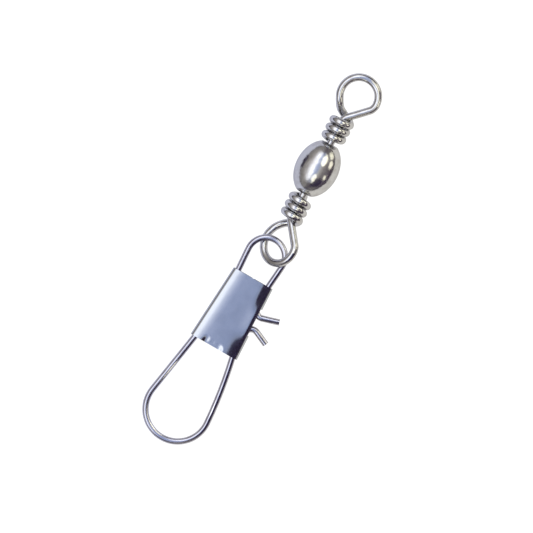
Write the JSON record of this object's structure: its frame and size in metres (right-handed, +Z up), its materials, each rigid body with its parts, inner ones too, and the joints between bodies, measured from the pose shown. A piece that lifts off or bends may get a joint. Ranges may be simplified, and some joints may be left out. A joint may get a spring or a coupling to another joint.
{
  "type": "fishing snap swivel",
  "caption": "Barrel swivel with twisted wire eyes, linked to an interlock snap: a bent wire loop with a folded sheet sleeve.",
  "frame": {"origin": "middle of the part's box on the table that it lies on", "axes": "+Y along the swivel towards its free eye, +Z up from the table, +X towards the snap's wire tails"},
  "size_m": [0.0106, 0.0524, 0.0055],
  "materials": {
    "barrel_plating": "bright nickel plate, polished",
    "eye_plating": "bright nickel plate on drawn wire",
    "snap_wire_steel": "bright nickel plate on spring wire",
    "sleeve_sheet": "bright nickel plate on rolled sheet"
  },
  "bodies": {
    "barrel": {"barrel": "barrel_plating"},
    "upper_eye": {"upper_eye": "eye_plating"},
    "lower_eye": {"lower_eye": "eye_plating"},
    "snap": {"snap_wire": "snap_wire_steel", "sleeve": "sleeve_sheet"}
  },
  "joints": [
    {"name": "upper_eye_spin", "type": "hinge", "parent": "barrel", "child": "upper_eye", "pos_m": [0.00036, 0.01298, 0.00274], "axis": [0, 0.9947, 0.1032], "continuous": true},
    {"name": "lower_eye_spin", "type": "hinge", "parent": "barrel", "child": "lower_eye", "pos_m": [0.00036, 0.01298, 0.00274], "axis": [0, 0.9947, 0.1032], "continuous": true},
    {"name": "snap_swing", "type": "hinge", "parent": "lower_eye", "child": "snap", "pos_m": [-0.00013, 0.00029, 0.00139], "axis": [-0.0013, -0.0377, 0.9993], "range_deg": [-80, 80]}
  ]
}
